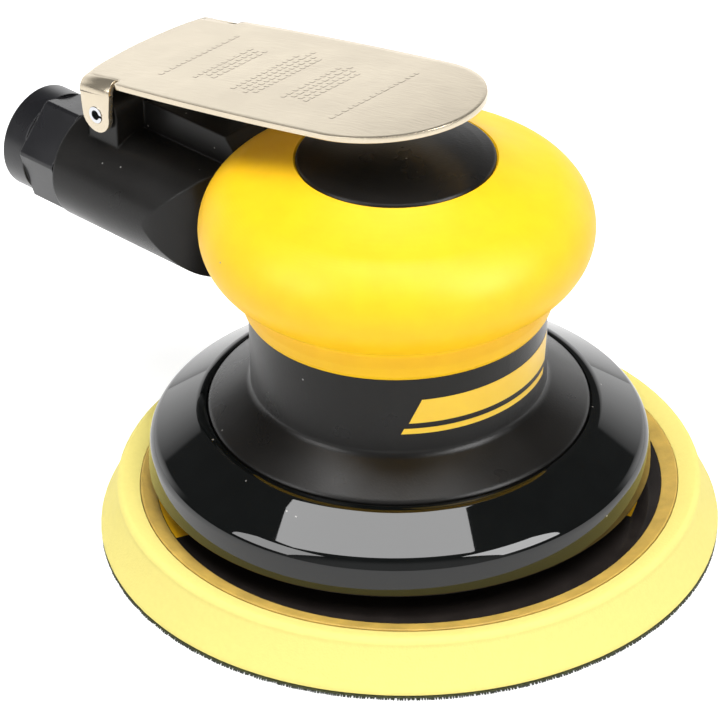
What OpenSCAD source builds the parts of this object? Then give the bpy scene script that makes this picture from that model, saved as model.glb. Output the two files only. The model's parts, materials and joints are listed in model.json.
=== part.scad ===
// Air-powered random orbital palm sander for 125 mm discs, millimetres.
// Origin: the motor axis at the working face of the pad. +Z up, handle towards -X.

/* [Pad] */
// Diameter of the pad's working face
pad_d = 125; // [123:1:127]
// Thickness of the hook layer
hook_t = 1; // [0.8:0.1:1.4]
// Height of the foam's rim above the floor
foam_top_z = 11.5; // [11:0.1:12]
// Diameter of the foam at its rounded rim
foam_rim_d = 117.8; // [116:0.2:119]
// Diameter of the backing plate
plate_d = 108.2; // [107:0.1:109]
// Offset of the pad's axis from the motor's axis
orbit_r = 2.5; // [1:0.25:2.5]

/* [Shroud] */
// Outer diameter of the shroud's lip
shroud_d = 101.2; // [100.4:0.2:101.8]
// Height of the lip's lower edge
shroud_low_z = 14.3; // [13.6:0.1:14.6]
// Height of the shroud's upper rim
shroud_top_z = 27.5; // [27.1:0.1:27.8]
// Wall thickness of the shroud
shroud_wall = 2; // [1.6:0.1:2.2]

/* [Housing] */
// Diameter of the neck
neck_d = 59; // [58:0.2:60]
// Diameter of the flange above the shroud
flange_d = 76.2; // [75.6:0.1:76.3]
// Height of the neck's upper end, where the grip starts
neck_top_z = 50.6; // [50:0.1:51.5]
// Diameter of the cap that shows through the grip
cap_d = 39; // [36:0.5:39]
// Height of the cap's crown
crown_z = 85; // [84.5:0.1:86]

/* [Grip] */
// Largest diameter of the grip
grip_d = 77.6; // [76:0.2:80]
// Height of the grip's widest line
grip_z = 67.5; // [67:0.1:68]
// Thickness of the grip's rubber at its widest line
grip_t = 3.5; // [3:0.1:4]

/* [Handle] */
// Outer diameter of each handle tube
tube_d = 24; // [23.6:0.1:24.4]
// Distance of each tube's axis from the middle plane
tube_y = 11; // [10.8:0.1:11.2]
// Height of the tubes' axes
tube_z = 58.6; // [58.2:0.1:59]
// Distance from the motor axis to the tubes' open ends
tube_end = 74.3; // [73:0.1:75]
// Distance from the motor axis to the outer end of the muffler cap
muffler_end = 90.5; // [89:0.1:92]
// Distance from the motor axis to the outer end of the inlet bushing
inlet_end = 88; // [86:0.5:89]
// Radius of the air inlet's thread
inlet_r = 5.72; // [5.6:0.01:5.8]

/* [Lever] */
// Thickness of the lever's plate
lever_t = 1.15; // [1:0.05:1.3]
// Upward slope of the released lever, in degrees
lever_slope = 10.35; // [10:0.05:10.7]
// Height of the lever's top plane above the motor axis
lever_top_z = 95.15; // [95:0.05:96]
// Half-width of the lever where its round end starts
lever_half = 18.95; // [18.6:0.05:20]
// Distance from the motor axis to the hinge pin
pin_x = 64.7; // [64.2:0.1:65.2]
// Height of the hinge pin
pin_z = 75.8; // [75.4:0.1:76.2]
// Radius of the hinge pin
pin_r = 1.75; // [1.5:0.05:1.8]

/* [Valve] */
// Distance from the motor axis to the valve stem
stem_x = 44; // [43.5:0.1:44.5]
// Radius of the valve stem
stem_r = 3; // [2.6:0.1:3]

/* [Motor] */
// Radius of the bore that holds the motor
motor_r = 22.45; // [22.3:0.01:22.6]
// Radius of the rotor
rotor_r = 16; // [15.5:0.1:16]
// Number of vanes
vane_count = 5; // [4:1:6]

/* [Hidden] */
$fn = 96;
run_gap = 0.05;

// Pad stack
pad_r = pad_d / 2;
rim_r = foam_rim_d / 2;
plate_r = plate_d / 2;
plate_z = 8;
label_r = 50.8;
label_in_r = 18;
label_z = 9.5;
label_t = 0.3;
hub_r = 16;
hub_top_z = 11.5;
hub_spigot_r = 6;
stud_r = 3.95;
stud_top_z = 28;
stud_chamfer = 0.8;
rivet_count = 5;
rivet_ring_r = 11;
rivet_r = 2;
spacer_t = 1.2;
spacer_r = 7.4;

// Spindle, on the pad's axis
hex_z = hub_top_z + spacer_t;
hex_top_z = 16.6;
hex_across = 24;
spindle_r = 5;
spindle_top_z = 37;
spindle_shoulder_r = 6.8;
spindle_bore_top_z = 30;
lower_bearing_z = 18.8;
upper_bearing_z = 28.8;
shield_r = 10.9;
shield_low_z = 17.6;
shield_t = 0.9;
bearing_ring_r = 13.6;
bearing_ring_z = 17.7;
snap_t = 1;
snap_depth = 0.4;

// Bearings: [bore radius, outer radius, width, pitch radius, ball radius, balls]
lower_bearing = [5, 13, 8, 9, 2.38, 8];
upper_bearing = [5, 11, 6, 8, 1.58, 10];
front_bearing = [6, 14, 8, 10, 2.38, 9];
rear_bearing = [4, 11, 7, 7.5, 1.98, 8];
race_gap = 0.04;
spindle_clip_z = upper_bearing_z + upper_bearing[2] + 0.2;

// Balance shaft and motor stack
balancer_low_z = 17;
balancer_r = 21;
balancer_top_z = 39.8;
front_bearing_z = 41;
plate_top_z = 50;
liner_top_z = 70;
rear_bearing_z = 71;
rear_bearing_top_z = 78;
rear_plate_top_z = 77;
shaft_top_z = 80;
shaft_seat_r = 5.5;
shaft_clip_z = 78.2;
shaft_clip_t = 0.8;
shaft_groove_r = 3.6;
stack_r = motor_r - run_gap;
liner_bore_r = rotor_r + 2;
liner_shift = 1.9;
key_w = 3;
key_depth = 1.5;
key_low_z = 55;
key_len = 10;
vane_t = 1.8;
vane_root_r = 8.1;
lock_r = 25;
lock_in_r = 17.5;
lock_low_z = 33.5;
dowel_y = 20.9;
dowel_r = 0.9;
dowel_low_z = 46;
dowel_len = 25.5;
motor_oring_z = 73.5;
motor_oring_w = 0.9;

// Housing and grip outlines
neck_r = neck_d / 2;
flange_r = flange_d / 2;
spigot_r = 31.2;
spigot_z = 22;
groove_z = 24.4;
flange_low_z = 25.6;
flange_top_z = 28.1;
neck_low_z = 34;
cap_r = cap_d / 2;
grip_r = grip_d / 2;
grip_mid_r = 27;
grip_low_b = 11;
grip_high_b = 11.33;

// Handle
tube_r = tube_d / 2;
wall_bend_x = 49.5;
wall_bend_r = 13;
wall_turn = 60;
block_low_z = 52;
block_top_z = 77;
block_y0 = -9.5;
block_y1 = 17.8;
block_step_x = 58.5;
lug_r = 4.1;
lug_half = 17.1;
chamber_r = 5.65;
chamber_floor_z = 50.5;
inlet_bore_r = 7;
inlet_thread_r = 9;
inlet_thread_end = 67;
exhaust_bore_r = 8.5;
exhaust_thread_r = 9.5;
screen_r = 4.5;
insert_r = 8;
insert_x0 = -85.9;
exhaust_thread_end = 66;
exhaust_bore_end = 46;
duct_r = 4;
exhaust_duct_y = -4.5;
room_r = 27.4;
room_top_z = 32.8;
pocket_r = 12;
pocket_top_z = 80.5;
block_foot_x = 20;
block_foot_z = 68;
speed_ring_r = 6.2;

// Valve parts
seat_x0 = -57.5;
seat_x1 = -55;
seat_bore_r = 3.4;
head_r = 4.7;
rod_r = 1.1;
sleeve_r = chamber_r - run_gap;
sleeve_low_z = 66;
ring_z = 68;
oring_z = 71.9;
speed_oring_r = 4.73;
speed_oring_w = 0.85;
head_x0 = -59.6;
head_x1 = -58.3;
rod_end_x = -42.6;
stem_low_z = 54.5;
stem_tip_z = 85.4;

// Lever outline, along the plate from the motor axis
tip_start = 2.9;
tip_reach = 20.6;
side_slope = 0.0261;
side_bow = 0.00069;
ear_in = 62;
ear_out = 70.6;
hinge_end = 73;
ear_face = 18.9;
bend_r = 2.7;
ear_tip_r = 3.8;

// Points of an elliptical arc
function arc(cx, cy, rx, ry, a0, a1, n) =
    [for (i = [0 : n]) let(a = a0 + (a1 - a0) * i / n) [cx + rx * cos(a), cy + ry * sin(a)]];
// Points of a curve that leaves p for c and arrives at q from c
function curve(p, c, q, n) =
    [for (i = [1 : n]) let(t = i / n) (1 - t) * (1 - t) * p + 2 * t * (1 - t) * c + t * t * q];
// A list back to front
function backwards(v) = [for (i = [len(v) - 1 : -1 : 0]) v[i]];

// A ring about Z
module ring(ri, ro, z0, z1) {
    difference() {
        translate([0, 0, z0]) cylinder(r = ro, h = z1 - z0);
        translate([0, 0, z0 - 1]) cylinder(r = ri, h = z1 - z0 + 2);
    }
}
// A rod along X between two x values
module rod_x(x0, x1, y, z, r) {
    translate([x0, y, z]) rotate([0, 90, 0]) cylinder(r = r, h = x1 - x0);
}
// A pipe along X
module pipe_x(x0, x1, y, z, ri, ro) {
    difference() {
        rod_x(x0, x1, y, z, ro);
        rod_x(x0 - 1, x1 + 1, y, z, ri);
    }
}
// A round-section ring about Z
module torus(r, section_r, z) {
    translate([0, 0, z]) rotate_extrude() translate([r, 0]) circle(r = section_r, $fn = 32);
}
// A split snap ring about Z, open towards +X
module snap_ring(ri, ro, z0, z1, gap) {
    difference() {
        ring(ri, ro, z0, z1);
        translate([0, -gap / 2, z0 - 1]) cube([ro + 1, gap, z1 - z0 + 2]);
    }
}
// The three pieces of a deep-groove bearing standing on z
module bearing_outer(b, z) {
    color("silver") difference() {
        ring((b[3] + b[1]) / 2 - 0.1, b[1], z, z + b[2]);
        torus(b[3], b[4] + race_gap, z + b[2] / 2);
    }
}
module bearing_inner(b, z) {
    color("silver") difference() {
        ring(b[0], (b[3] + b[0]) / 2 + 0.1, z, z + b[2]);
        torus(b[3], b[4] + race_gap, z + b[2] / 2);
    }
}
module bearing_balls(b, z) {
    color("gainsboro") for (i = [0 : b[5] - 1])
        rotate(360 * i / b[5]) translate([b[3], 0, z + b[2] / 2]) sphere(r = b[4], $fn = 24);
}
module on_pad_axis() {
    translate([orbit_r, 0, 0]) children();
}

// ---- Pad ----
module hook_face() {
    color("darkslategray") on_pad_axis() cylinder(r = pad_r - 0.1, h = hook_t);
}
module pad_foam() {
    rim_round = 1.3;
    outline = concat(
        [[0, hook_t], [pad_r, hook_t], [pad_r, hook_t + 0.8]],
        arc(rim_r - rim_round, foam_top_z - rim_round, rim_round, rim_round, 20, 100, 8),
        [[plate_r + 1.6, foam_top_z - 0.5], [plate_r + 0.1, foam_top_z - 1.1]],
        [[plate_r + 0.1, plate_z], [0, plate_z]]);
    color("khaki") on_pad_axis() rotate_extrude() polygon(outline);
}
module backing_plate() {
    outline = [[hub_spigot_r, plate_z], [plate_r, plate_z], [plate_r, foam_top_z - 1],
               [plate_r - 0.3, foam_top_z - 0.9], [label_r + 0.1, label_z + label_t],
               [label_r, label_z], [hub_spigot_r, label_z]];
    color("darkgoldenrod") on_pad_axis() difference() {
        rotate_extrude() polygon(outline);
        rivet_places() cylinder(r = rivet_r, h = 20);
    }
}
module pad_label() {
    color("black") on_pad_axis() ring(label_in_r, label_r, label_z, label_z + label_t);
}
module rivet_places() {
    for (i = [0 : rivet_count - 1]) rotate(360 * i / rivet_count) translate([rivet_ring_r, 0, 0]) children();
}
module pad_hub() {
    color("silver") on_pad_axis() difference() {
        union() {
            translate([0, 0, label_z]) cylinder(r = hub_r, h = hub_top_z - label_z);
            translate([0, 0, plate_z]) cylinder(r = hub_spigot_r, h = hub_top_z - plate_z);
            translate([0, 0, hub_top_z]) cylinder(r = stud_r, h = stud_top_z - hub_top_z - stud_chamfer);
            translate([0, 0, stud_top_z - stud_chamfer])
                cylinder(r1 = stud_r, r2 = stud_r - stud_chamfer, h = stud_chamfer);
        }
        rivet_places() cylinder(r = rivet_r, h = 20);
    }
}
module pad_rivets() {
    head_h = 0.8;
    color("gainsboro") on_pad_axis() rivet_places() {
        translate([0, 0, plate_z]) cylinder(r = rivet_r, h = hub_top_z - plate_z);
        translate([0, 0, hub_top_z]) cylinder(r1 = rivet_r + 1.1, r2 = rivet_r, h = head_h);
    }
}
module pad_spacer() {
    color("tan") on_pad_axis() ring(stud_r + run_gap, spacer_r, hub_top_z, hex_z);
}

// ---- Spindle ----
module spindle() {
    corner_r = hex_across / 2 + 1.4;
    color("silver") on_pad_axis() difference() {
        union() {
            intersection() {
                translate([0, 0, hex_z])
                    cylinder(r = hex_across / 2 / cos(30), h = hex_top_z - hex_z, $fn = 6);
                translate([0, 0, hex_z]) cylinder(r = corner_r, h = hex_top_z - hex_z);
            }
            translate([0, 0, hex_z]) cylinder(r = spindle_shoulder_r, h = lower_bearing_z - hex_z);
            translate([0, 0, hex_z]) cylinder(r = spindle_r, h = spindle_top_z - hex_z);
        }
        translate([0, 0, hex_z - 1]) cylinder(r = stud_r + 0.02, h = spindle_bore_top_z - hex_z + 1);
        ring(spindle_r - snap_depth, spindle_r + 1, spindle_clip_z, spindle_clip_z + snap_t);
    }
}
module dust_shield() {
    color("dimgray") on_pad_axis() ring(spindle_shoulder_r, shield_r, shield_low_z, shield_low_z + shield_t);
}
module spindle_clip() {
    clip_r = 7;
    color("gray") on_pad_axis()
        snap_ring(spindle_r - snap_depth, clip_r, spindle_clip_z, spindle_clip_z + snap_t, 3);
}
module spindle_ring() {
    inner_r = 11.3;
    color("gray") on_pad_axis()
        snap_ring(inner_r, bearing_ring_r, bearing_ring_z, bearing_ring_z + snap_t, 4);
}
module lower_bearing_outer() { on_pad_axis() bearing_outer(lower_bearing, lower_bearing_z); }
module lower_bearing_inner() { on_pad_axis() bearing_inner(lower_bearing, lower_bearing_z); }
module lower_bearing_balls() { on_pad_axis() bearing_balls(lower_bearing, lower_bearing_z); }
module upper_bearing_outer() { on_pad_axis() bearing_outer(upper_bearing, upper_bearing_z); }
module upper_bearing_inner() { on_pad_axis() bearing_inner(upper_bearing, upper_bearing_z); }
module upper_bearing_balls() { on_pad_axis() bearing_balls(upper_bearing, upper_bearing_z); }

// ---- Balance shaft ----
// A counterweight lobe, opposite the pad's offset
module lobe(r, z0, z1) {
    reach = r + 5;
    intersection() {
        translate([0, 0, z0]) cylinder(r = r, h = z1 - z0);
        translate([0, 0, z0]) linear_extrude(z1 - z0)
            polygon([[-2, 0], [-reach * 0.4, -reach], [-reach, -reach], [-reach, reach], [-reach * 0.4, reach]]);
    }
}
module shaft_balancer() {
    neck_z = 33;
    neck_r1 = 16;
    step_r = 8;
    lower_lobe = [30, balancer_low_z, 21.4];
    upper_lobe = [26, 24, 32.4];
    relief_r = 9.5;
    upper_bore_h = 8.8;
    color("slategray") difference() {
        union() {
            translate([0, 0, balancer_low_z]) cylinder(r = balancer_r, h = neck_z - balancer_low_z);
            translate([0, 0, neck_z]) cylinder(r = neck_r1, h = balancer_top_z - neck_z);
            translate([0, 0, balancer_top_z]) cylinder(r = step_r, h = front_bearing_z - balancer_top_z);
            translate([0, 0, front_bearing_z]) cylinder(r = front_bearing[0], h = plate_top_z - front_bearing_z);
            translate([0, 0, plate_top_z]) cylinder(r = shaft_seat_r, h = liner_top_z - plate_top_z);
            translate([0, 0, liner_top_z]) cylinder(r = rear_bearing[0], h = shaft_top_z - liner_top_z);
            lobe(lower_lobe[0], lower_lobe[1], lower_lobe[2]);
            lobe(upper_lobe[0], upper_lobe[1], upper_lobe[2]);
        }
        on_pad_axis() {
            translate([0, 0, balancer_low_z - 1])
                cylinder(r = lower_bearing[1], h = lower_bearing_z + lower_bearing[2] - balancer_low_z + 1);
            ring(lower_bearing[1] - 1, bearing_ring_r, bearing_ring_z, bearing_ring_z + snap_t);
            translate([0, 0, lower_bearing_z + 1]) cylinder(r = relief_r, h = upper_bearing_z - lower_bearing_z);
            translate([0, 0, upper_bearing_z]) cylinder(r = upper_bearing[1], h = upper_bore_h);
        }
        translate([shaft_seat_r - key_depth, -key_w / 2, key_low_z]) cube([5, key_w, key_len]);
        ring(shaft_groove_r, 6, shaft_clip_z, shaft_clip_z + shaft_clip_t);
    }
}

// ---- Shroud ----
module shroud() {
    lip_r = shroud_d / 2;
    lip_lean = 6;
    lip_edge_z = shroud_low_z + 0.9;
    shoulder_r = 3.5;
    shoulder_z = shroud_low_z + 4.95;
    wall_h = shoulder_z + shoulder_r * sin(lip_lean) - lip_edge_z;
    shoulder_x = lip_r - wall_h * tan(lip_lean) - shoulder_r * cos(lip_lean);
    cone_turn = 58.6;
    rim_round = 3.45;
    inner_r = flange_r + 0.35;
    rim_r = inner_r + 0.45;
    skirt_r = lip_r - shroud_wall;
    outline = concat(
        [[lip_r - 0.6, shroud_low_z], [lip_r - 0.15, shroud_low_z + 0.3], [lip_r, lip_edge_z]],
        arc(shoulder_x, shoulder_z, shoulder_r, shoulder_r, lip_lean, cone_turn, 8),
        arc(rim_r, shroud_top_z - rim_round, rim_round, rim_round, cone_turn, 90, 6),
        [[inner_r, shroud_top_z - 0.2], [inner_r, groove_z], [spigot_r, groove_z]],
        [[spigot_r, groove_z - shroud_wall], [skirt_r - 4.9, groove_z - shroud_wall]],
        [[skirt_r - 1.1, shoulder_z + 1.1], [skirt_r, shoulder_z - 0.5], [skirt_r, shroud_low_z]]);
    color("#18191a") rotate_extrude($fn = 180) polygon(outline);
}

// ---- Motor ----
module lock_ring() {
    notch_w = 4;
    notch_start = 19;
    notch_depth = 2.5;
    color("dimgray") difference() {
        ring(lock_in_r, lock_r, lock_low_z, front_bearing_z);
        for (a = [0 : 90 : 270]) rotate(a)
            translate([notch_start, -notch_w / 2, lock_low_z - 1]) cube([notch_w, notch_w, notch_depth + 1]);
    }
}
module front_end_plate() {
    color("lightsteelblue") difference() {
        translate([0, 0, front_bearing_z]) cylinder(r = stack_r, h = plate_top_z - front_bearing_z);
        translate([0, 0, front_bearing_z - 1]) cylinder(r = front_bearing[1], h = front_bearing[2] + 1);
        cylinder(r = front_bearing[1] - 4, h = plate_top_z + 1);
        pin_hole();
    }
}
// Hole for the pin that lines up the plates and the liner
module pin_hole() {
    translate([0, dowel_y, dowel_low_z]) cylinder(r = dowel_r, h = dowel_len, $fn = 24);
}
module front_bearing_outer() { bearing_outer(front_bearing, front_bearing_z); }
module front_bearing_inner() { bearing_inner(front_bearing, front_bearing_z); }
module front_bearing_balls() { bearing_balls(front_bearing, front_bearing_z); }
module cylinder_liner() {
    height = liner_top_z - plate_top_z;
    inlet_port_r = 2.5;
    exhaust_port_r = 1.7;
    exhaust_port_pitch = 4.5;
    color("lightslategray") difference() {
        translate([0, 0, plate_top_z]) cylinder(r = stack_r, h = height);
        translate([liner_shift, 0, plate_top_z - 1]) cylinder(r = liner_bore_r, h = height + 2);
        rod_x(-30, -11, tube_y, tube_z, inlet_port_r);
        for (k = [-1 : 1])
            rod_x(-30, -14, exhaust_duct_y, tube_z + k * exhaust_port_pitch, exhaust_port_r);
        pin_hole();
    }
}
module cylinder_pin() {
    color("gainsboro") pin_hole();
}
module rotor() {
    color("steelblue") difference() {
        translate([0, 0, plate_top_z + run_gap]) cylinder(r = rotor_r, h = liner_top_z - plate_top_z - 2 * run_gap);
        cylinder(r = shaft_seat_r, h = 90);
        translate([0, -key_w / 2, plate_top_z]) cube([shaft_seat_r + key_depth, key_w, 15]);
        vane_places() translate([vane_root_r - 0.3, -vane_t / 2 - 0.05, 49]) cube([12, vane_t + 0.1, 22]);
    }
}
module vane_places() {
    for (i = [0 : vane_count - 1]) rotate(36 + 360 * i / vane_count) children();
}
module rotor_vanes() {
    height = liner_top_z - plate_top_z - 0.3;
    color("saddlebrown") vane_places() translate([vane_root_r, -vane_t / 2, plate_top_z + 0.15])
        cube([rotor_r - 0.1 - vane_root_r, vane_t, height]);
}
module rotor_key() {
    color("gainsboro") translate([shaft_seat_r - key_depth, -key_w / 2, key_low_z])
        cube([2 * key_depth, key_w, key_len]);
}
module rear_end_plate() {
    groove_w = 2 * motor_oring_w + 0.1;
    shaft_hole_r = 7;
    color("lightsteelblue") difference() {
        translate([0, 0, liner_top_z]) cylinder(r = stack_r, h = rear_plate_top_z - liner_top_z);
        translate([0, 0, rear_bearing_z]) cylinder(r = rear_bearing[1], h = 10);
        cylinder(r = shaft_hole_r, h = 90);
        ring(stack_r - 2 * motor_oring_w, 30, motor_oring_z - groove_w / 2, motor_oring_z + groove_w / 2);
        pin_hole();
    }
}
module motor_oring() {
    color("black") torus(stack_r - motor_oring_w, motor_oring_w, motor_oring_z);
}
module rear_bearing_outer() { bearing_outer(rear_bearing, rear_bearing_z); }
module rear_bearing_inner() { bearing_inner(rear_bearing, rear_bearing_z); }
module rear_bearing_balls() { bearing_balls(rear_bearing, rear_bearing_z); }
module shaft_clip() {
    color("gray") snap_ring(shaft_groove_r, 5.4, shaft_clip_z, shaft_clip_z + shaft_clip_t, 2.5);
}
module wave_washer() {
    color("silver") ring(9.4, rear_bearing[1], rear_bearing_top_z, rear_bearing_top_z + 0.6);
}

// ---- Housing and grip ----
// Outline shared by the housing and the grip's inside, from the neck up to the cap
under_grip = concat(
    [[neck_r - 2.2, neck_top_z], [neck_r - 2.2, 57]],
    arc(grip_mid_r, grip_z, grip_r - grip_t - grip_mid_r, 8, -75, 78, 18),
    [[cap_r + 0.6, 79.4], [cap_r, 79.8]]);

module housing_body() {
    crown_drop = 2.05;
    crown_r = (cap_r * cap_r + crown_drop * crown_drop) / (2 * crown_drop);
    outline = concat(
        [[0, spigot_z], [spigot_r, spigot_z], [spigot_r, flange_low_z], [flange_r, flange_low_z]],
        [[flange_r, flange_top_z - 0.35], [flange_r - 0.35, flange_top_z], [neck_r + 0.8, neck_low_z - 1.25]],
        curve([neck_r + 0.8, neck_low_z - 1.25], [neck_r, neck_low_z - 0.7], [neck_r, neck_low_z], 5),
        [[neck_r, neck_top_z]],
        under_grip,
        [[cap_r, crown_z - crown_drop - 0.5], [cap_r - 0.25, crown_z - crown_drop]],
        [for (i = [1 : 8]) let(r = (cap_r - 0.25) * (1 - i / 8))
            [r, crown_z - crown_r + sqrt(crown_r * crown_r - r * r)]]);
    rotate_extrude($fn = 180) polygon(outline);
}
// The two tubes, ended by a wall that curves in to the body, all grown by g
module handle_tubes(g) {
    side_y = tube_y + tube_r + run_gap;
    bend = wall_bend_r + g;
    side = concat([[-tube_end - 1, -side_y - g]],
                  arc(-wall_bend_x, wall_bend_r - side_y, bend, bend, -90, wall_turn - 90, 24));
    last = side[len(side) - 1];
    apex_x = last[0] - last[1] / tan(wall_turn);
    intersection() {
        for (s = [-1, 1]) rod_x(-tube_end, -10, s * tube_y, tube_z, tube_r + g);
        linear_extrude(120) polygon(concat(side, [[apex_x, 0]], [for (p = backwards(side)) [p[0], -p[1]]]));
    }
}
// The block under the lever, each side grown by g
module handle_block(g) {
    slope_x = 37.5;
    slope_foot_x = 30;
    translate([0, block_y1 + g, 0]) rotate([90, 0, 0]) linear_extrude(block_y1 - block_y0 + 2 * g)
        polygon([[-block_step_x, block_low_z - g], [-block_foot_x, block_low_z - g],
                 [-block_foot_x, block_foot_z + g], [-slope_foot_x, block_foot_z + g],
                 [-slope_x + g, block_top_z + g], [-block_step_x, block_top_z + g]]);
}
// The block's narrower end, which stays between the lever's ears
module handle_block_end() {
    translate([-pin_x - lug_r, block_y0, tube_z]) cube([pin_x + lug_r - block_step_x, lug_half - block_y0, 16.4]);
    translate([-pin_x, block_y0, tube_z]) cube([pin_x - block_step_x, lug_half - block_y0, block_top_z - tube_z]);
}
module pin_lug() {
    translate([-pin_x, lug_half, pin_z]) rotate([90, 0, 0]) cylinder(r = lug_r, h = 2 * lug_half);
    translate([-pin_x - lug_r, -lug_half, tube_z]) cube([2 * lug_r, 2 * lug_half, pin_z - tube_z]);
}
module housing() {
    color("#3e3c3a") difference() {
        union() {
            housing_body();
            handle_tubes(0);
            handle_block(0);
            handle_block_end();
            pin_lug();
        }
        // Balance shaft room, lock ring thread, motor bore and the pocket above it
        translate([0, 0, spigot_z - 1]) cylinder(r = room_r, h = room_top_z - spigot_z + 1);
        translate([0, 0, room_top_z - 1]) cylinder(r = lock_r, h = front_bearing_z - room_top_z + 1);
        translate([0, 0, front_bearing_z - 1]) cylinder(r = motor_r, h = rear_plate_top_z - front_bearing_z + 1);
        translate([0, 0, liner_top_z]) cylinder(r = pocket_r, h = pocket_top_z - liner_top_z);
        // Inlet side
        rod_x(-tube_end - 1, -inlet_thread_end, tube_y, tube_z, inlet_thread_r);
        rod_x(-inlet_thread_end - 1, -stem_x, tube_y, tube_z, inlet_bore_r);
        rod_x(-stem_x, -15, tube_y, tube_z, duct_r);
        // Exhaust side
        rod_x(-tube_end - 1, -exhaust_thread_end, -tube_y, tube_z, exhaust_thread_r);
        rod_x(-exhaust_thread_end - 1, -exhaust_bore_end, -tube_y, tube_z, exhaust_bore_r);
        rod_x(-exhaust_bore_end - 1, -15, exhaust_duct_y, tube_z, duct_r);
        // Valve chamber with the groove of its snap ring
        translate([-stem_x, tube_y, chamber_floor_z]) cylinder(r = chamber_r, h = 40);
        translate([-stem_x, tube_y, ring_z]) cylinder(r = speed_ring_r, h = snap_t);
        // Hinge pin
        translate([-pin_x, 30, pin_z]) rotate([90, 0, 0]) cylinder(r = pin_r, h = 60);
    }
}
module grip() {
    outside = concat(
        [[neck_r, neck_top_z], [neck_r + 0.7, neck_top_z + 0.2], [neck_r + 1.1, neck_top_z + 0.9]],
        [[neck_r + 1.2, 53.5], [neck_r + 1, 55.8], [neck_r + 1.2, 56.7], [neck_r + 1.8, 57.2]],
        arc(grip_mid_r, grip_z, grip_r - grip_mid_r, grip_low_b, -64, 0, 20),
        arc(grip_mid_r, grip_z, grip_r - grip_mid_r, grip_high_b, 3, 72, 22),
        curve([30.65, 78.28], [25.5, 79.9], [cap_r + 0.4, crown_z - 2.3], 8),
        [[cap_r, crown_z - 2.8]]);
    color("#ffd82f") difference() {
        rotate_extrude($fn = 180) polygon(concat(outside, backwards(under_grip)));
        handle_tubes(0.2);
        handle_block(0.2);
        translate([-40, block_y0 - 0.2, neck_top_z - 1]) cube([20, block_y1 - block_y0 + 0.4, 3]);
    }
}

// ---- Lever ----
// Half-width of the plate at distance s from the motor axis
function lever_w(s) = lever_half + side_slope * (s - tip_start) - side_bow * (s - tip_start) * (s - tip_start);
// Upper half of the plate's outline, from the hinge end to the round end
lever_side = concat(
    [[-hinge_end, 0], [-hinge_end + 0.5, 8], [-hinge_end + 1.3, 13], [-ear_out, ear_face - bend_r]],
    [[-ear_in + 1, ear_face - bend_r], [-ear_in + 1.2, lever_w(60) - 0.6]],
    [for (s = [60 : -5 : 5]) [-s, lever_w(s)]],
    [for (i = [0 : 14]) let(a = 90 - 6.4 * i) [-tip_start + tip_reach * cos(a), lever_half * sin(a)]]);
lever_outline = concat(lever_side, [for (p = backwards(lever_side)) if (p[1] > 0) [p[0], -p[1]]]);
// The pin's place in the lever's own frame
pin_lx = (pin_z - lever_top_z) * sin(lever_slope) - pin_x * cos(lever_slope);
pin_lz = (pin_z - lever_top_z) * cos(lever_slope) + pin_x * sin(lever_slope);

// An ear: a quarter bend at the plate's edge, then a flat tab that is round at the pin
module ear(side) {
    translate([-ear_out, side * (ear_face - bend_r), -bend_r]) rotate([90, 0, 90])
        linear_extrude(ear_out - ear_in) intersection() {
            difference() {
                circle(r = bend_r, $fn = 64);
                circle(r = bend_r - lever_t, $fn = 64);
            }
            translate([side > 0 ? 0 : -bend_r, 0]) square(bend_r);
        }
    translate([0, side > 0 ? ear_face : lever_t - ear_face, 0]) rotate([90, 0, 0]) linear_extrude(lever_t) {
        translate([pin_lx, pin_lz]) circle(r = ear_tip_r, $fn = 64);
        polygon([[pin_lx - ear_tip_r, pin_lz], [-ear_out, -bend_r], [-ear_in, -bend_r],
                 [pin_lx + ear_tip_r, pin_lz]]);
    }
}
module lever() {
    color("#e8d8be") translate([0, 0, lever_top_z]) rotate([0, -lever_slope, 0]) difference() {
        union() {
            translate([0, 0, -lever_t]) linear_extrude(lever_t) polygon(lever_outline);
            ear(-1);
            ear(1);
        }
        translate([pin_lx, 30, pin_lz]) rotate([90, 0, 0]) cylinder(r = pin_r + run_gap, h = 60);
    }
}
module lever_pin() {
    length = 2 * ear_face + 0.2;
    color("silver") translate([-pin_x, length / 2, pin_z]) rotate([90, 0, 0]) difference() {
        cylinder(r = pin_r, h = length, $fn = 48);
        translate([0, 0, -1]) cylinder(r = pin_r - 0.7, h = length + 2, $fn = 48);
        translate([0, -0.3, -1]) cube([3, 0.6, length + 2]);
    }
}

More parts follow.
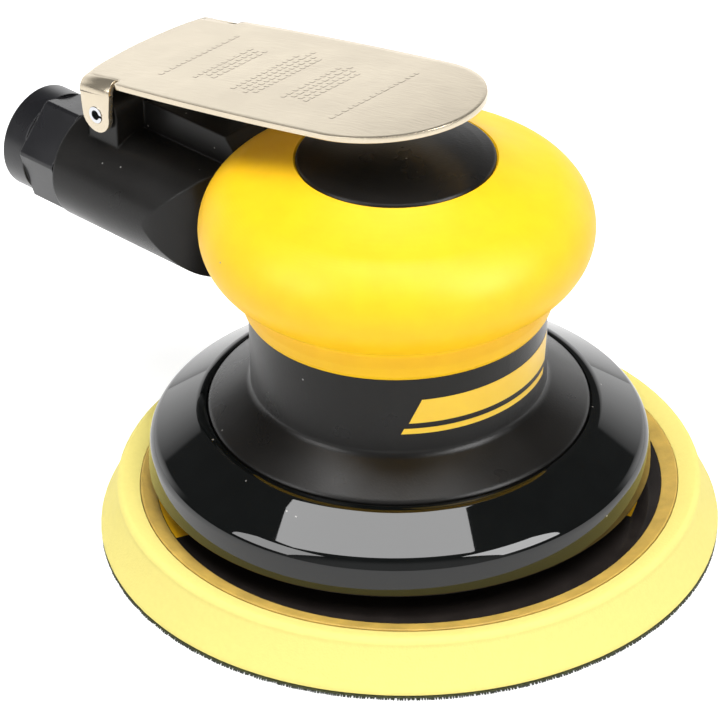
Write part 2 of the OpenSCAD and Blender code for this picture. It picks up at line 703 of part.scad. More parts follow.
// ---- Valve ----
module valve_stem() {
    slot_half = 1.5;
    slot_low = tube_z - 1.35;
    slot_high = tube_z + 3;
    color("goldenrod") translate([-stem_x, tube_y, 0]) difference() {
        union() {
            translate([0, 0, stem_low_z]) cylinder(r = stem_r, h = stem_tip_z - stem_r - stem_low_z);
            translate([0, 0, stem_tip_z - stem_r]) sphere(r = stem_r);
        }
        translate([-5, -slot_half, slot_low]) cube([10, 2 * slot_half, slot_high - slot_low]);
    }
}
module speed_control() {
    disc_z = block_top_z + 0.3;
    disc_t = 2;
    disc_r = 7.5;
    tab_reach = 13;
    tab_w = 5;
    skirt_low_z = 53;
    skirt_in_r = 4.4;
    color("#2b2b2c") translate([-stem_x, tube_y, 0]) difference() {
        union() {
            translate([0, 0, sleeve_low_z]) cylinder(r = sleeve_r, h = disc_z + disc_t - sleeve_low_z);
            translate([0, 0, disc_z]) cylinder(r = disc_r, h = disc_t);
            // Finger tab
            translate([-tab_w / 2, 0, disc_z]) cube([tab_w, tab_reach, disc_t]);
            translate([0, tab_reach, disc_z]) cylinder(r = tab_w / 2, h = disc_t);
            // Skirt that throttles the duct to the motor
            intersection() {
                ring(skirt_in_r, sleeve_r, skirt_low_z, sleeve_low_z + 1);
                translate([0, 2, 50]) cube([20, 20, 20]);
            }
        }
        translate([0, 0, 50]) cylinder(r = stem_r + run_gap, h = 40);
        ring(skirt_in_r + 0.3, 8, ring_z - 0.3, ring_z + snap_t + 0.3);
        ring(speed_oring_r - 0.87, 8, oring_z - 0.87, oring_z + 0.87);
    }
}
module speed_oring() {
    color("black") translate([-stem_x, tube_y, 0]) torus(speed_oring_r, speed_oring_w, oring_z);
}
module speed_ring() {
    color("gray") translate([-stem_x, tube_y, 0]) snap_ring(5, speed_ring_r, ring_z, ring_z + snap_t, 3);
}
module tip_valve() {
    color("gainsboro") {
        rod_x(head_x0, head_x1, tube_y, tube_z, head_r);
        rod_x(head_x0 + 0.6, rod_end_x, tube_y, tube_z, rod_r);
    }
}
module valve_seal() {
    color("black") pipe_x(head_x1, seat_x0 - run_gap, tube_y, tube_z, rod_r, head_r - 0.1);
}
module valve_seat() {
    color("goldenrod") pipe_x(seat_x0, seat_x1, tube_y, tube_z, seat_bore_r, inlet_bore_r);
}
// A cone-shaped coil spring along X
module valve_spring() {
    x0 = -66.5;
    x1 = head_x0 - 0.35;
    turns = 4;
    wire_r = 0.35;
    sides = 8;
    steps = 24;
    rings = turns * steps;
    function spring_r(t) = 5.2 - 2 * t;
    function centre(t) = [x0 + (x1 - x0) * t, spring_r(t) * cos(360 * turns * t), spring_r(t) * sin(360 * turns * t)];
    function section(t) = [for (k = [0 : sides - 1]) let(a = 360 * k / sides, b = 360 * turns * t)
        centre(t) + wire_r * [sin(a), cos(a) * cos(b), cos(a) * sin(b)]];
    points = [for (i = [0 : rings]) each section(i / rings)];
    faces = concat(
        [[for (k = [0 : sides - 1]) k]],
        [for (i = [0 : rings - 1], k = [0 : sides - 1])
            [i * sides + k, (i + 1) * sides + k, (i + 1) * sides + (k + 1) % sides, i * sides + (k + 1) % sides]],
        [[for (k = [sides - 1 : -1 : 0]) rings * sides + k]]);
    color("silver") translate([0, tube_y, tube_z]) polyhedron(points, faces);
}

// ---- Inlet ----
module inlet_bushing() {
    hex_flat = 19;
    hex_end = 76.5;
    collar_r = 10.6;
    thread_depth = 12;
    color("dimgray") difference() {
        union() {
            translate([-inlet_end, tube_y, tube_z]) rotate([0, 90, 0])
                cylinder(r = hex_flat / 2 / cos(30), h = inlet_end - hex_end, $fn = 6);
            rod_x(-hex_end, -tube_end, tube_y, tube_z, collar_r);
            rod_x(-tube_end, -inlet_thread_end, tube_y, tube_z, inlet_thread_r);
        }
        rod_x(-inlet_end - 1, -inlet_end + thread_depth, tube_y, tube_z, inlet_r);
        rod_x(-inlet_end, -60, tube_y, tube_z, screen_r);
        inlet_ring_groove();
    }
}
module inlet_ring_groove() {
    pipe_x(-tube_end - 1.5, -tube_end, tube_y, tube_z, 8.9, 10.1);
}
module inlet_oring() {
    color("black") pipe_x(-tube_end - 1.4, -tube_end, tube_y, tube_z, 8.95, 10.05);
}
module inlet_screen() {
    hole_ring_r = 2.6;
    hole_r = 0.9;
    face_x = -72;
    color("silver") difference() {
        rod_x(face_x, face_x + 1, tube_y, tube_z, screen_r);
        rod_x(face_x - 1, face_x + 2, tube_y, tube_z, hole_r);
        for (a = [0 : 60 : 300])
            rod_x(face_x - 1, face_x + 2, tube_y + hole_ring_r * cos(a), tube_z + hole_ring_r * sin(a), hole_r);
    }
}

// ---- Muffler ----
module muffler_cap() {
    hex_flat = 20.8;
    ring_start = 84.4;
    ring_r = 10.9;
    chamfer = 0.3;
    gap = 0.5;
    mouth_r = 7;
    color("#2c2c2e") difference() {
        union() {
            rod_x(-tube_end, -exhaust_thread_end, -tube_y, tube_z, exhaust_thread_r);
            rod_x(-tube_end - gap, -tube_end, -tube_y, tube_z, exhaust_thread_r);
            intersection() {
                translate([-ring_start, -tube_y, tube_z]) rotate([0, 90, 0]) rotate(17)
                    cylinder(r = hex_flat / 2 / cos(30), h = ring_start - tube_end - gap, $fn = 6);
                rod_x(-ring_start, -tube_end - gap, -tube_y, tube_z, tube_r - 0.2);
            }
            rod_x(-muffler_end + chamfer, -ring_start, -tube_y, tube_z, ring_r);
            translate([-muffler_end, -tube_y, tube_z]) rotate([0, 90, 0])
                cylinder(r1 = ring_r - chamfer, r2 = ring_r, h = chamfer);
        }
        rod_x(insert_x0 - 0.1, -60, -tube_y, tube_z, insert_r + run_gap);
        rod_x(-muffler_end - 1, -80, -tube_y, tube_z, mouth_r);
    }
}
module muffler_oring() {
    color("black") pipe_x(-tube_end - 0.45, -tube_end, -tube_y, tube_z, exhaust_thread_r, 10.6);
}
module muffler_insert() {
    color("gray") pipe_x(insert_x0, -48, -tube_y, tube_z, 3, insert_r);
}

hook_face();
pad_foam();
backing_plate();
pad_label();
pad_hub();
pad_rivets();
pad_spacer();
spindle();
dust_shield();
spindle_clip();
spindle_ring();
lower_bearing_outer();
lower_bearing_inner();
lower_bearing_balls();
upper_bearing_outer();
upper_bearing_inner();
upper_bearing_balls();
shaft_balancer();
shroud();
lock_ring();
front_end_plate();
front_bearing_outer();
front_bearing_inner();
front_bearing_balls();
cylinder_liner();
cylinder_pin();
rotor();
rotor_vanes();
rotor_key();
rear_end_plate();
motor_oring();
rear_bearing_outer();
rear_bearing_inner();
rear_bearing_balls();
shaft_clip();
wave_washer();
housing();
grip();
lever();
lever_pin();
valve_stem();
speed_control();
speed_oring();
speed_ring();
tip_valve();
valve_seal();
valve_seat();
valve_spring();
inlet_bushing();
inlet_oring();
inlet_screen();
muffler_cap();
muffler_oring();
muffler_insert();
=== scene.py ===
import json
from math import atan2, cos, hypot, pi, radians, sin, tan

import bmesh
import bpy
from mathutils import Matrix, Vector, noise


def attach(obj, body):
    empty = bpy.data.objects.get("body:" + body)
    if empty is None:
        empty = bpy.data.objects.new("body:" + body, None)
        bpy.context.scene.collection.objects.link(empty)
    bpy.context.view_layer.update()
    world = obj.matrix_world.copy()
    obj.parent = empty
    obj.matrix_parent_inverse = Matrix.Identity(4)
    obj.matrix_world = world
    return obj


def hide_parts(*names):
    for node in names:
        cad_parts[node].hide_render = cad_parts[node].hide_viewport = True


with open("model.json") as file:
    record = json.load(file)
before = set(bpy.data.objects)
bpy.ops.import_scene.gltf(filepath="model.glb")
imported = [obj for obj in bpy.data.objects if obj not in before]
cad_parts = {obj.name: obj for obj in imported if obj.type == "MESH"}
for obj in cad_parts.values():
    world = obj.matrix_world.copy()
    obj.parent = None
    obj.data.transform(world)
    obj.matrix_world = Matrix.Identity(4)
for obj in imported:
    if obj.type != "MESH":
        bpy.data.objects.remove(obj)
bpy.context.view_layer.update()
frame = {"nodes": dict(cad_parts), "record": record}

MM = 0.001

# ---- Sizes shared with the CAD model, in millimetres ----
# Pad: its axis stands beside the motor's, which is at x = 0
PAD_X = 2.5
PAD_R = 62.5
HOOK_T = 1.0
FOAM_TOP_Z = 11.5
FOAM_RIM_R = 58.9
PLATE_Z = 8.0
PLATE_R = 54.1
LABEL_TOP_Z = 9.8

# Housing's neck and the shroud under it
NECK_R = 29.5
SHROUD_R = 50.6
SHROUD_LOW_Z = 14.3
SHROUD_TOP_Z = 27.5
SHROUD_RIM_R = 38.9
SHROUD_SEAT_R = 31.25
SHROUD_SEAT_Z = 24.42

# Lever, in its own frame: along the sheet towards the tip, across it, and the rise off it
LEVER_TOP_Z = 95.15
LEVER_SLOPE = radians(10.35)
LEVER_T = 1.15
LEVER_HALF = 18.95
SIDE_SLOPE = 0.0261
SIDE_BOW = 0.00069
TIP_START = 2.9
TIP_REACH = 20.6
HINGE_END = 73.0
EAR_IN = 62.0
EAR_OUT = 70.6
EAR_FACE = 18.9
EAR_TIP_R = 3.8
BEND_R = 2.7
PIN_X = 64.7
PIN_Z = 75.8
PIN_R = 1.75

# ---- Camera: the photograph's angle, far off with a long lens ----
VIEW_TARGET = Vector((-5.5, -5.3, 36.5)) * MM
VIEW_AZIMUTH = radians(44)
VIEW_ELEVATION = radians(32.16)
VIEW_ROLL = radians(-1.02)
VIEW_DISTANCE = 814.3 * MM
LENS_MM = 204.9
SENSOR_MM = 36

# Level directions of the studio: towards the camera's side, and to its right
NEAR = Vector((sin(VIEW_AZIMUTH), -cos(VIEW_AZIMUTH), 0))
RIGHT = Vector((cos(VIEW_AZIMUTH), sin(VIEW_AZIMUTH), 0))
UP = Vector((0, 0, 1))


def turned_to(right, up, back, place):
    """The transform that turns an object's own axes to these directions, at a place."""
    return Matrix((
        (right.x, up.x, back.x, place.x), (right.y, up.y, back.y, place.y),
        (right.z, up.z, back.z, place.z), (0, 0, 0, 1)))


def add_camera():
    forward = -(NEAR * cos(VIEW_ELEVATION) + UP * sin(VIEW_ELEVATION))
    level_up = RIGHT.cross(forward)
    right = RIGHT * cos(VIEW_ROLL) + level_up * sin(VIEW_ROLL)
    up = level_up * cos(VIEW_ROLL) - RIGHT * sin(VIEW_ROLL)
    data = bpy.data.cameras.new("camera")
    data.lens = LENS_MM
    data.sensor_width = SENSOR_MM
    camera = bpy.data.objects.new("camera", data)
    camera.matrix_world = turned_to(right, up, -forward, VIEW_TARGET - forward * VIEW_DISTANCE)
    bpy.context.scene.collection.objects.link(camera)
    bpy.context.scene.camera = camera


# ---- Node helpers ----
def add_noise(tree, vector, scale, detail=3.0):
    texture = tree.nodes.new("ShaderNodeTexNoise")
    texture.inputs["Scale"].default_value = scale
    texture.inputs["Detail"].default_value = detail
    tree.links.new(vector, texture.inputs["Vector"])
    return texture.outputs["Fac"]


def map_range(tree, value, low, high, to_low, to_high, smooth=False):
    node = tree.nodes.new("ShaderNodeMapRange")
    if smooth:
        node.interpolation_type = "SMOOTHSTEP"
    node.inputs["From Min"].default_value = low
    node.inputs["From Max"].default_value = high
    node.inputs["To Min"].default_value = to_low
    node.inputs["To Max"].default_value = to_high
    tree.links.new(value, node.inputs["Value"])
    return node.outputs["Result"]


def multiply(tree, first, second):
    node = tree.nodes.new("ShaderNodeMath")
    node.operation = "MULTIPLY"
    tree.links.new(first, node.inputs[0])
    tree.links.new(second, node.inputs[1])
    return node.outputs["Value"]


def mix_colour(tree, factor, first, second):
    """A colour between two; each is a constant or another node's output."""
    node = tree.nodes.new("ShaderNodeMix")
    node.data_type = "RGBA"
    tree.links.new(factor, node.inputs["Factor"])
    for socket, colour in ((node.inputs["A"], first), (node.inputs["B"], second)):
        if isinstance(colour, tuple):
            socket.default_value = colour
        else:
            tree.links.new(colour, socket)
    return node.outputs["Result"]


# ---- Studio ----
WORLD_DIM = 0.1
FRONT_BRIGHT = 0.5
WALL_BRIGHT = 1.6
FLOOR_GLOW = 0.85

# How directly a direction points away from the camera's side where each wall's edge begins and ends
WALL_SIDES = (0.25, 0.6)
FRONT_SIDES = (-0.85, -0.5)

# The far wall's brightness at each height, as the sine of the angle above level
WALL_FADE = ((0.0, 1.0), (0.08, 0.97), (0.2, 0.85), (0.27, 0.7), (0.34, 0.5), (0.4, 0.25), (0.42, 0.0))


def add_softbox(name, near, right, up, wide, deep, watts, mirrored=True, fills=True):
    """A rectangular lamp, aimed at the object from a place given in metres from it.

    It shows in reflections if mirrored, and lights matt surfaces if it fills.
    """
    place = NEAR * near + RIGHT * right + UP * up
    data = bpy.data.lights.new(name, "AREA")
    data.shape = "RECTANGLE"
    data.size = wide
    data.size_y = deep
    data.energy = watts
    lamp = bpy.data.objects.new(name, data)
    back = place.normalized()
    if back.z > 0.8:
        side = RIGHT - back * RIGHT.dot(back)
    else:
        side = UP.cross(back)
    side.normalize()
    lamp.matrix_world = turned_to(side, back.cross(side), back, place)
    lamp.visible_camera = False
    lamp.visible_glossy = mirrored
    lamp.visible_diffuse = fills
    bpy.context.scene.collection.objects.link(lamp)


def add_world():
    """A pale backdrop: a bright wall low behind the object, a fainter one in front, dim overhead."""
    world = bpy.data.worlds.new("studio")
    bpy.context.scene.world = world
    world.use_nodes = True
    tree = world.node_tree
    way = tree.nodes.new("ShaderNodeTexCoord").outputs["Generated"]
    facing = tree.nodes.new("ShaderNodeVectorMath")
    facing.operation = "DOT_PRODUCT"
    facing.inputs[1].default_value = -NEAR
    tree.links.new(way, facing.inputs[0])
    behind = map_range(tree, facing.outputs["Value"], *WALL_SIDES, 0.0, 1.0, smooth=True)
    front = map_range(tree, facing.outputs["Value"], *FRONT_SIDES, FRONT_BRIGHT, WORLD_DIM, smooth=True)
    parts = tree.nodes.new("ShaderNodeSeparateXYZ")
    tree.links.new(way, parts.inputs["Vector"])
    wall = tree.nodes.new("ShaderNodeValToRGB")
    tree.links.new(parts.outputs["Z"], wall.inputs["Fac"])
    stops = wall.color_ramp.elements
    for stop, (height, share) in ((stops[0], WALL_FADE[0]), (stops[1], WALL_FADE[-1])):
        stop.position = height
        stop.color = (share, share, share, 1)
    for height, share in WALL_FADE[1:-1]:
        stops.new(height).color = (share, share, share, 1)
    strength = tree.nodes.new("ShaderNodeMath")
    strength.operation = "MULTIPLY_ADD"
    strength.inputs[1].default_value = WALL_BRIGHT
    tree.links.new(multiply(tree, wall.outputs["Color"], behind), strength.inputs[0])
    tree.links.new(front, strength.inputs[2])
    background = tree.nodes["Background"]
    background.inputs["Color"].default_value = (1, 1, 1, 1)
    tree.links.new(strength.outputs["Value"], background.inputs["Strength"])
    plain = tree.nodes.new("ShaderNodeBackground")
    plain.inputs["Color"].default_value = (1, 1, 1, 1)
    plain.inputs["Strength"].default_value = 1.0
    seen = tree.nodes.new("ShaderNodeLightPath")
    mix = tree.nodes.new("ShaderNodeMixShader")
    tree.links.new(seen.outputs["Is Camera Ray"], mix.inputs["Fac"])
    tree.links.new(background.outputs["Background"], mix.inputs[1])
    tree.links.new(plain.outputs["Background"], mix.inputs[2])
    tree.links.new(mix.outputs["Shader"], tree.nodes["World Output"].inputs["Surface"])


def add_floor():
    bpy.ops.mesh.primitive_plane_add(size=12, location=(0, 0, 0))
    floor = bpy.context.object
    floor.name = "floor"
    material = bpy.data.materials.new("floor")
    material.use_nodes = True
    shader = material.node_tree.nodes["Principled BSDF"]
    shader.inputs["Base Color"].default_value = (0.55, 0.55, 0.55, 1)
    shader.inputs["Roughness"].default_value = 1.0
    shader.inputs["Specular IOR Level"].default_value = 0.0
    shader.inputs["Emission Color"].default_value = (1, 1, 1, 1)
    shader.inputs["Emission Strength"].default_value = FLOOR_GLOW
    floor.data.materials.append(material)


# ---- Materials ----
NOISE_SPAN = (0.3, 0.7)
RELIEF_DEPTH = 0.2 * MM
EDGE_SAMPLES = 6
DUST_CELLS = 420.0
DUST_EDGE = (0.05, 0.11)
DUST_COLOUR = (0.32, 0.31, 0.3, 1)


def linear(colour):
    """A display colour, 0 to 255 a channel, as the linear colour that shaders take.

    The display curve is a power above a short straight foot.
    """
    channels = []
    for level in colour:
        if level > 10:
            channels.append(((level / 255 + 0.055) / 1.055) ** 2.4)
        else:
            channels.append(level / 3295)
    return tuple(channels) + (1,)


def scaled(colour, factor):
    return tuple(min(1.0, channel * factor) for channel in colour[:3]) + (1,)


def add_dust(tree, coords, base, share):
    """A base colour with a pale speck in a share of the small cells that space is divided into."""
    cells = tree.nodes.new("ShaderNodeTexVoronoi")
    cells.inputs["Scale"].default_value = DUST_CELLS
    tree.links.new(coords, cells.inputs["Vector"])
    dots = map_range(tree, cells.outputs["Distance"], *DUST_EDGE, 1.0, 0.0)
    chosen = tree.nodes.new("ShaderNodeSeparateColor")
    tree.links.new(cells.outputs["Color"], chosen.inputs["Color"])
    kept = tree.nodes.new("ShaderNodeMath")
    kept.operation = "GREATER_THAN"
    kept.inputs[1].default_value = 1 - share
    tree.links.new(chosen.outputs["Red"], kept.inputs[0])
    return mix_colour(tree, multiply(tree, dots, kept.outputs["Value"]), base, DUST_COLOUR)


def finish(name, colour, roughness, metallic=0.0, mottle=0.06, mottle_scale=220.0, gloss_spread=0.05,
           relief=0.03, relief_scale=1500.0, stretch=(1, 1, 1), specular=0.5, dust=0.0, edge=0.0):
    """A material whose colour, gloss and fine relief vary over the surface, in the part's own frame.

    mottle and gloss_spread are how far colour and roughness vary. stretch pulls the relief into a brushed
    grain. edge is the radius, in millimetres, that sharp moulded edges seem to be rounded to.
    """
    material = bpy.data.materials.new(name)
    material.use_nodes = True
    tree = material.node_tree
    shader = tree.nodes["Principled BSDF"]
    shader.inputs["Metallic"].default_value = metallic
    shader.inputs["Specular IOR Level"].default_value = specular
    coords = tree.nodes.new("ShaderNodeTexCoord").outputs["Object"]
    grain = coords
    if stretch != (1, 1, 1):
        mapping = tree.nodes.new("ShaderNodeMapping")
        mapping.inputs["Scale"].default_value = stretch
        tree.links.new(coords, mapping.inputs["Vector"])
        grain = mapping.outputs["Vector"]
    patches = add_noise(tree, coords, mottle_scale)
    shade = map_range(tree, patches, *NOISE_SPAN, 0.0, 1.0)
    plain = linear(colour)
    base = mix_colour(tree, shade, scaled(plain, 1 - mottle), scaled(plain, 1 + mottle))
    if dust > 0:
        base = add_dust(tree, coords, base, dust)
    tree.links.new(base, shader.inputs["Base Color"])
    wide_patches = add_noise(tree, coords, mottle_scale * 0.4)
    rough = map_range(tree, wide_patches, *NOISE_SPAN,
                      max(0.02, roughness - gloss_spread), min(1.0, roughness + gloss_spread))
    tree.links.new(rough, shader.inputs["Roughness"])
    bump = tree.nodes.new("ShaderNodeBump")
    bump.inputs["Strength"].default_value = relief
    bump.inputs["Distance"].default_value = RELIEF_DEPTH
    tree.links.new(add_noise(tree, grain, relief_scale, 4.0), bump.inputs["Height"])
    if edge > 0:
        rounded = tree.nodes.new("ShaderNodeBevel")
        rounded.samples = EDGE_SAMPLES
        rounded.inputs["Radius"].default_value = edge * MM
        tree.links.new(rounded.outputs["Normal"], bump.inputs["Normal"])
    tree.links.new(bump.outputs["Normal"], shader.inputs["Normal"])
    return material


# The look of each of the record's material slots
LOOKS = {
    "foam_yellow": dict(colour=(238, 224, 130), roughness=0.8, mottle=0.015, mottle_scale=900, relief=0.3,
                        relief_scale=2600, specular=0.25),
    "hook_black": dict(colour=(66, 70, 44), roughness=0.9, mottle=0.4, mottle_scale=1500, relief=1.0,
                       relief_scale=2400, specular=0.2),
    "backing_tan": dict(colour=(197, 163, 76), roughness=0.5, mottle=0.14, mottle_scale=260, relief=0.25,
                        relief_scale=1300, stretch=(1, 1, 6)),
    "label_black": dict(colour=(38, 34, 32), roughness=0.1, mottle=0.2, relief=0.05, relief_scale=900,
                        dust=0.01),
    "steel": dict(colour=(200, 202, 206), roughness=0.22, metallic=1.0, mottle=0.06, relief=0.08,
                  stretch=(1, 1, 9)),
    "dark_steel": dict(colour=(74, 74, 78), roughness=0.32, metallic=1.0, mottle=0.12, relief=0.1,
                       stretch=(9, 1, 1)),
    "aluminium": dict(colour=(196, 198, 202), roughness=0.36, metallic=1.0, mottle=0.05, relief=0.15,
                      stretch=(1, 1, 7)),
    "brass": dict(colour=(214, 170, 84), roughness=0.28, metallic=1.0, mottle=0.1, relief=0.08,
                  stretch=(1, 1, 7)),
    "black_rubber": dict(colour=(28, 28, 28), roughness=0.7, mottle=0.2, relief=0.4, relief_scale=2200),
    "vane_fibre": dict(colour=(92, 54, 34), roughness=0.65, mottle=0.3, relief=0.6, stretch=(1, 1, 0.1)),
    "gloss_black": dict(colour=(10, 12, 12), roughness=0.025, mottle=0.15, gloss_spread=0.005, relief=0.004,
                        relief_scale=260, dust=0.05),
    "housing_black": dict(colour=(23, 22, 21), roughness=0.3, mottle=0.07, gloss_spread=0.04, relief=0.14,
                          relief_scale=2300, specular=0.22, dust=0.06, edge=0.7),
    "grip_yellow": dict(colour=(255, 200, 24), roughness=0.46, mottle=0.03, relief=0.06, relief_scale=1700,
                        specular=0.25, dust=0.006),
    "lever_gold": dict(colour=(205, 193, 171), roughness=0.21, metallic=0.84, mottle=0.025, mottle_scale=160,
                       gloss_spread=0.03, relief=0.1, relief_scale=1100, stretch=(0.25, 2, 1)),
    "cap_black": dict(colour=(22, 22, 25), roughness=0.3, mottle=0.12, relief=0.1, relief_scale=1800,
                      dust=0.02, edge=0.4),
    "felt_grey": dict(colour=(120, 118, 112), roughness=0.95, mottle=0.3, mottle_scale=800, relief=1.0,
                      relief_scale=2600, specular=0.1),
    "spacer_fibre": dict(colour=(150, 118, 82), roughness=0.75, mottle=0.25, mottle_scale=700, relief=0.6),
}
FINISHES = {slot: finish(slot, **look) for slot, look in LOOKS.items()}
AMBER = finish("label_amber", (255, 190, 14), 0.35, mottle=0.05, relief=0.05, relief_scale=900, specular=0.3)
STRIPE = finish("stripe_yellow", (255, 208, 48), 0.35, mottle=0.03, relief=0.04)
BRISTLE = finish("hook_bristle", (44, 50, 36), 0.7, mottle=0.3, mottle_scale=900, relief=0.3)

for part in frame["record"]["subparts"]:
    mesh = frame["nodes"][part["node"]].data
    mesh.materials.clear()
    mesh.materials.append(FINISHES[part["material_slot"]])


# ---- Mesh helpers, in millimetres and degrees ----
# Turned pieces keep a pinhole on their axis
CORE_R = 0.4


def smooth_all(mesh, angle):
    """Smooth shading, with a crease where faces meet at more than an angle."""
    mesh.polygons.foreach_set("use_smooth", [True] * len(mesh.polygons))
    mesh.set_sharp_from_angle(angle=radians(angle))


def make_piece(name, points, faces, material, body, replaces=(), smooth=35):
    """A closed mesh that rides a body and stands for the CAD nodes that it replaces."""
    mesh = bpy.data.meshes.new(name)
    mesh.from_pydata([tuple(c * MM for c in point) for point in points], [], faces)
    build = bmesh.new()
    build.from_mesh(mesh)
    bmesh.ops.remove_doubles(build, verts=build.verts, dist=1e-7)
    bmesh.ops.recalc_face_normals(build, faces=build.faces)
    build.to_mesh(mesh)
    build.free()
    smooth_all(mesh, smooth)
    mesh.materials.append(material)
    piece = bpy.data.objects.new(name, mesh)
    bpy.context.scene.collection.objects.link(piece)
    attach(piece, body)
    if replaces:
        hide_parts(*replaces)
    return piece


def round_edges(piece, width):
    """Rounds the piece's sharp edges for good, by a width."""
    modifier = piece.modifiers.new("round", "BEVEL")
    modifier.width = width * MM
    modifier.segments = 2
    modifier.limit_method = "ANGLE"
    modifier.angle_limit = radians(40)
    modifier.harden_normals = False
    bpy.context.view_layer.objects.active = piece
    with bpy.context.temp_override(object=piece, active_object=piece, selected_objects=[piece]):
        bpy.ops.object.modifier_apply(modifier="round")
    smooth_all(piece.data, 50)


def turned(outline, count, cx=0.0, wobble=0.0):
    """Points and faces of a closed outline of (r, z) turned about an upright axis at x = cx."""
    points = []
    for i in range(count):
        a = 2 * pi * i / count
        for r, z in outline:
            x = r * cos(a)
            y = r * sin(a)
            push = wobble * noise.noise(Vector((x, y, z)) * 0.9)
            grow = 1 + push / max(r, 1)
            points.append((cx + x * grow, y * grow, z + push / 2))
    n = len(outline)
    faces = []
    for i in range(count):
        j = (i + 1) % count
        for k in range(n):
            m = (k + 1) % n
            faces.append((i * n + k, j * n + k, j * n + m, i * n + m))
    return points, faces


def stack_faces(first, around, levels):
    """Faces of a closed bar whose points are rings, one after another, of as many points each."""
    faces = []
    for level in range(levels - 1):
        low = first + level * around
        for k in range(around):
            m = (k + 1) % around
            faces.append((low + k, low + m, low + around + m, low + around + k))
    last = first + (levels - 1) * around
    faces.append(tuple(first + k for k in reversed(range(around))))
    faces.append(tuple(last + k for k in range(around)))
    return faces


def arc_points(cx, cy, r, start, end, count):
    """Points of an arc in a plane."""
    angles = [radians(start + (end - start) * i / count) for i in range(count + 1)]
    return [(cx + r * cos(a), cy + r * sin(a)) for a in angles]


def straight(start, end, count):
    """Points along a line in a plane, its end left out."""
    return [(start[0] + (end[0] - start[0]) * i / count, start[1] + (end[1] - start[1]) * i / count)
            for i in range(count)]


# ---- Foam pad: a moulded skin, rolled over at the rim ----
def add_foam():
    """A turned skin whose leaning wall pulls in half-way up, round a pocket for the backing plate."""
    steps = 12
    low = HOOK_T + 0.02
    wall_low = HOOK_T + 0.9
    wall_rise = FOAM_TOP_Z - HOOK_T - 2.2
    wall_lean = PAD_R - FOAM_RIM_R - 0.05
    waist = 0.22
    middle = 30
    outline = [(CORE_R, low), (middle, low), (PAD_R - 1, low), (PAD_R - 0.5, low + 0.02)]
    outline += [(PAD_R - 0.15, HOOK_T + 0.25), (PAD_R - 0.06, HOOK_T + 0.55)]
    for i in range(steps + 1):
        t = i / steps
        outline.append((PAD_R - 0.1 - wall_lean * t - waist * sin(pi * t), wall_low + wall_rise * t))
    outline += arc_points(FOAM_RIM_R - 1.3, FOAM_TOP_Z - 1.32, 1.28, 8, 100, 10)
    outline += [(PLATE_R + 1.5, FOAM_TOP_Z - 0.55), (PLATE_R + 0.15, FOAM_TOP_Z - 1.15)]
    outline += [(PLATE_R + 0.1, PLATE_Z + 0.02), (middle, PLATE_Z - 0.02), (CORE_R, PLATE_Z - 0.02)]
    points, faces = turned(outline, 320, PAD_X, wobble=0.05)
    foam = make_piece("foam_cushion", points, faces, FINISHES["foam_yellow"], "pad",
                      ["pad_foam"])


# ---- Hook face: a woven backing, rows of short hooks and loose fibres at its edge ----
def add_hook_backing():
    low = 0.5
    top = HOOK_T - 0.02
    outline = [(CORE_R, low), (PAD_R - 0.35, low), (PAD_R - 0.12, low + 0.12)]
    outline += [(PAD_R - 0.1, top), (CORE_R, top)]
    points, faces = turned(outline, 240, PAD_X, wobble=0.08)
    make_piece("hook_backing", points, faces, FINISHES["hook_black"], "pad", ["hook_face"])


def add_hook_pile():
    """Mushroom hooks in staggered rows, each a little out of place and leaning."""
    pitch = 1.9
    row_pitch = pitch * 0.9
    stray = 0.35
    around = 5
    # Height, radius and lean of each ring, from the hook's root down to its cap
    profile = ((0.55, 0.17, 0.0), (0.22, 0.13, 0.12), (0.16, 0.36, 0.12), (0.02, 0.26, 0.12))
    rows = int(PAD_R / pitch) + 1
    points = []
    faces = []
    for i in range(-rows, rows + 1):
        for j in range(-rows, rows + 1):
            jitter = noise.noise(Vector((i * 0.73, j * 0.61, 3.1)))
            x = (i + 0.5 * (j % 2)) * pitch + stray * jitter
            y = j * row_pitch + stray * noise.noise(Vector((i * 0.57, 8.2, j * 0.67)))
            if hypot(x, y) > PAD_R - 0.75:
                continue
            faces += stack_faces(len(points), around, len(profile))
            for z, r, lean in profile:
                for k in range(around):
                    a = 2 * pi * k / around + i
                    points.append((PAD_X + x + lean * jitter + r * cos(a), y + r * sin(a), z))
    make_piece("hook_pile", points, faces, BRISTLE, "pad", smooth=60)


def add_hook_fringe():
    """Flat fibres round the edge, bent and of uneven length, in tufts."""
    fibres = 980
    root_z = 0.8
    depth = 0.2
    points = []
    faces = []
    for i in range(fibres):
        a = 2 * pi * i / fibres + 0.006 * noise.noise(Vector((i * 0.7, 1.1, 5.3)))
        wild = noise.noise(Vector((i * 0.9, 7.7, 2.9)))
        tuft = noise.noise(Vector((i * 0.17, 3.1, 6.4)))
        end_z = 0.03 + 0.1 * abs(wild) + 0.3 * max(0, tuft)
        stray = 0.1 * wild
        # Height, reach from the pad's axis and half width, from the root down to the end
        levels = ((root_z, PAD_R - 0.5, 0.16), (0.35, PAD_R - 0.25 + stray, 0.2),
                  (end_z, PAD_R - 0.12 + stray, 0.13))
        faces += stack_faces(len(points), 4, len(levels))
        for z, r, half in levels:
            bend = 0.12 * wild * (root_z - z)
            for inset, aside in ((depth, -half), (0, -half * 0.8), (0, half * 0.8), (depth, half)):
                turn = a + (aside + bend) / PAD_R
                points.append((PAD_X + (r - inset) * cos(turn), (r - inset) * sin(turn), z))
    make_piece("hook_fringe", points, faces, BRISTLE, "pad", smooth=60)


